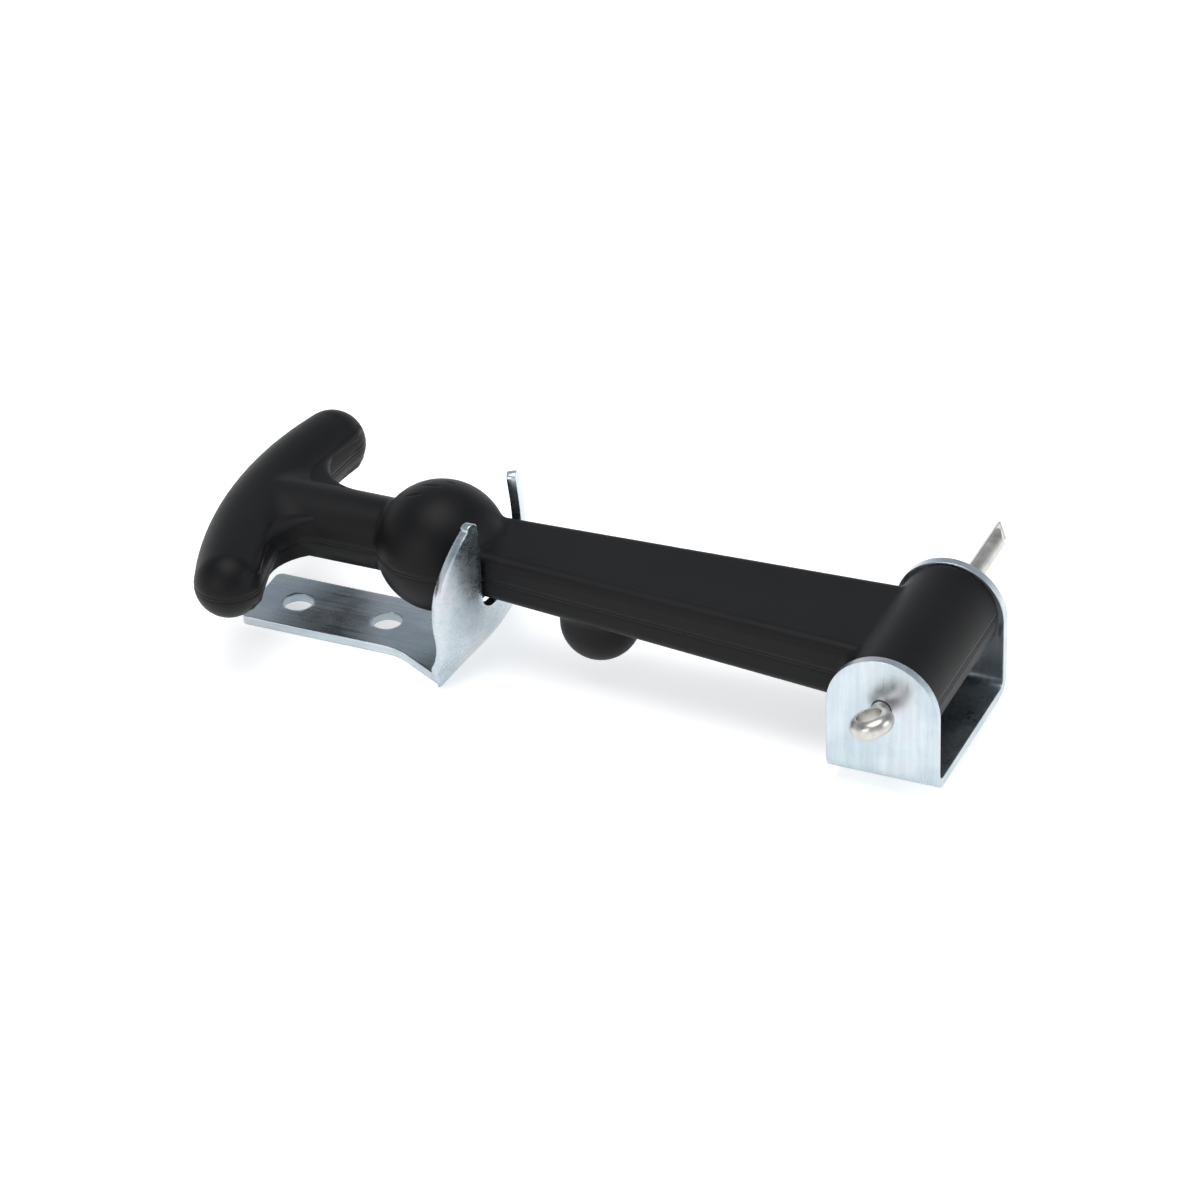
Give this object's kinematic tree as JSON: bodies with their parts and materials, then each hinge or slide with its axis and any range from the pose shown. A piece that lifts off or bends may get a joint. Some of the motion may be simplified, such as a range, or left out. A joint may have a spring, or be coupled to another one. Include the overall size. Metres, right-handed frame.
{
  "type": "rubber T draw latch",
  "caption": "Rubber pull-down latch: a moulded strap with a T grip and ball hinges on a split pin in a U bracket and hooks behind a forked keeper.",
  "frame": {"origin": "on the anchor bracket's mounting face, at the middle of its two screw holes, straight below the pin", "axes": "-X from the anchor bracket along the strap to the T grip, Y along the split pin, +Z out of the panel that the anchor bracket is screwed to"},
  "size_m": [0.1759, 0.0934, 0.0398],
  "materials": {
    "zinc_plate": "bright zinc plating",
    "pin_steel": "plated wire",
    "black_rubber": "moulded, semi-matte"
  },
  "bodies": {
    "panel_side": {"anchor_bracket": "zinc_plate", "split_pin": "pin_steel", "keeper_bracket": "zinc_plate"},
    "strap": {"rubber_strap": "black_rubber"}
  },
  "joints": [
    {"name": "strap_swing", "type": "hinge", "parent": "panel_side", "child": "strap", "pos_m": [0, 0, 0.0187], "axis": [0, 1, 0], "range_deg": [0, 178]}
  ]
}
